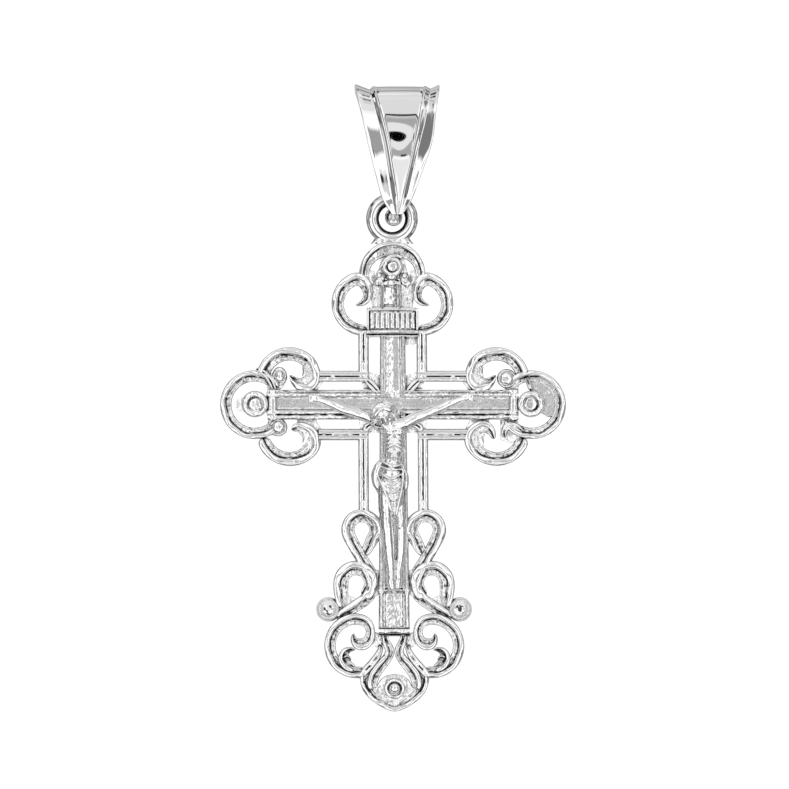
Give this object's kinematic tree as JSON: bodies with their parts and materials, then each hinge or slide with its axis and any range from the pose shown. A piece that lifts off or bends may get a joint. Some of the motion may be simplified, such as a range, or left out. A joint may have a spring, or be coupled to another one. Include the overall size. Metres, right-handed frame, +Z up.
{
  "type": "filigree crucifix pendant",
  "caption": "Openwork cross pendant with scrolled lobes at its ends and a small raised figure, hanging by a ring from a fluted tapering bail.",
  "frame": {"origin": "top of the inside of the bail, where the chain bears", "axes": "+X across to the viewer's right, +Y to the back, +Z up along the pendant's length"},
  "size_m": [0.0274, 0.0052, 0.0499],
  "materials": {
    "bail": "polished silver",
    "cross": "polished cast silver, duller in its recesses",
    "corpus": "polished cast silver"
  },
  "bodies": {
    "bail": {"bail": "bail"},
    "cross": {"cross": "cross", "corpus": "corpus"}
  },
  "joints": [
    {"name": "swing", "type": "hinge", "parent": "bail", "child": "cross", "pos_m": [0, 0, -0.0084], "axis": [1, 0, 0], "range_deg": [-25, 25]}
  ]
}
